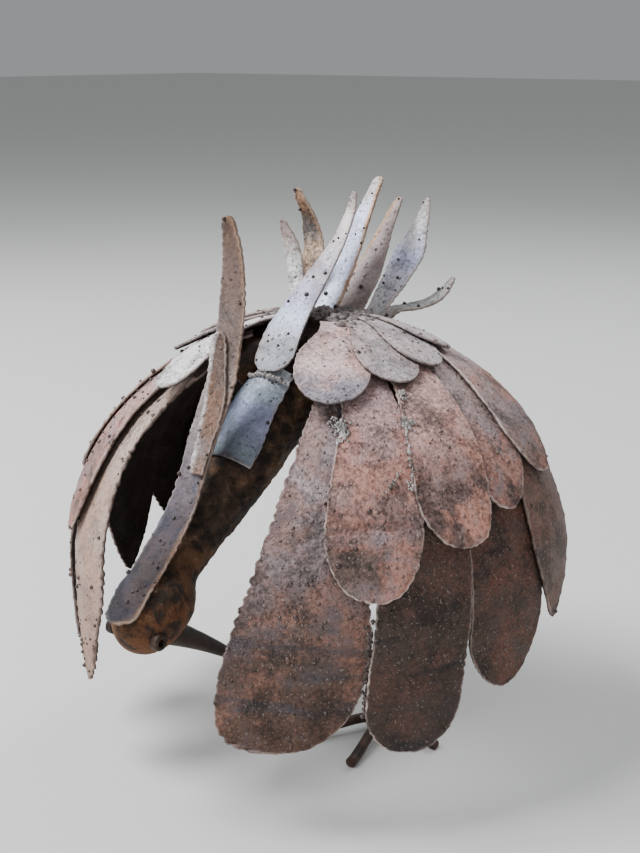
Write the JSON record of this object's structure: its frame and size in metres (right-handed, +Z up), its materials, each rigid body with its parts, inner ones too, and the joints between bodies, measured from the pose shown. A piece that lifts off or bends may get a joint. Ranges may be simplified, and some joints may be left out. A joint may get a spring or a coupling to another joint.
{
  "type": "metal bird sculpture",
  "caption": "Welded steel bird that stands with its head bent down, under a dome of overlapping torch-cut feathers with a crest of raised plumes.",
  "frame": {"origin": "on the ground, at the middle of the bounding box's base, 22 mm ahead of the wing dome's axis", "axes": "+Z up, the bird faces -Y, and its left wing is on the +X side"},
  "size_m": [0.2811, 0.2724, 0.3154],
  "materials": {
    "wing_steel": "torch-cut steel sheet with a thin reddish rust, violet heat tint and spatter beads",
    "covert_steel": "torch-cut steel sheet, greyish pink scale with weld spatter",
    "crest_steel": "heat-tinted steel strip, blue grey to brown with ragged bright edges",
    "blued_steel": "blued steel strip with violet and brown heat tint",
    "weld_crust": "lumpy dark brown weld and rust crust",
    "beak_steel": "smooth dark brown forged rod, slightly polished",
    "rod_steel": "dark purplish brown rod, lightly rusted",
    "eye_nut": "small rusty ring with a dark open bore"
  },
  "bodies": {
    "root": {"beak": "beak_steel", "body": "weld_crust", "crest_plume_far": "crest_steel", "crest_plume_far_tall": "crest_steel", "crest_plume_front": "crest_steel", "crest_plume_low": "crest_steel", "crest_plume_middle": "crest_steel", "crest_plume_rear": "crest_steel", "crest_plume_second": "crest_steel", "crown_plume": "blued_steel", "crown_plume_small": "blued_steel", "left_covert_1": "covert_steel", "left_covert_2": "covert_steel", "left_covert_3": "covert_steel", "left_covert_4": "covert_steel", "left_eye": "eye_nut", "left_front_toe": "rod_steel", "left_hind_toe": "rod_steel", "left_inner_toe": "rod_steel", "left_leg": "rod_steel", "left_median_1": "wing_steel", "left_median_2": "wing_steel", "left_median_3": "wing_steel", "left_median_4": "wing_steel", "left_outer_toe": "rod_steel", "left_primary_1": "wing_steel", "left_primary_2": "wing_steel", "left_primary_3": "wing_steel", "left_primary_4": "wing_steel", "left_primary_5": "wing_steel", "left_primary_6": "wing_steel", "nape_plate": "blued_steel", "neck_and_head": "weld_crust", "right_covert_1": "covert_steel", "right_covert_2": "covert_steel", "right_covert_3": "covert_steel", "right_covert_4": "covert_steel", "right_eye": "eye_nut", "right_front_toe": "rod_steel", "right_hind_toe": "rod_steel", "right_inner_toe": "rod_steel", "right_leg": "rod_steel", "right_median_1": "wing_steel", "right_median_2": "wing_steel", "right_median_3": "wing_steel", "right_median_4": "wing_steel", "right_outer_toe": "rod_steel", "right_primary_1": "wing_steel", "right_primary_2": "wing_steel", "right_primary_3": "wing_steel", "right_primary_4": "wing_steel", "right_primary_5": "wing_steel", "right_primary_6": "wing_steel"}
  },
  "joints": []
}
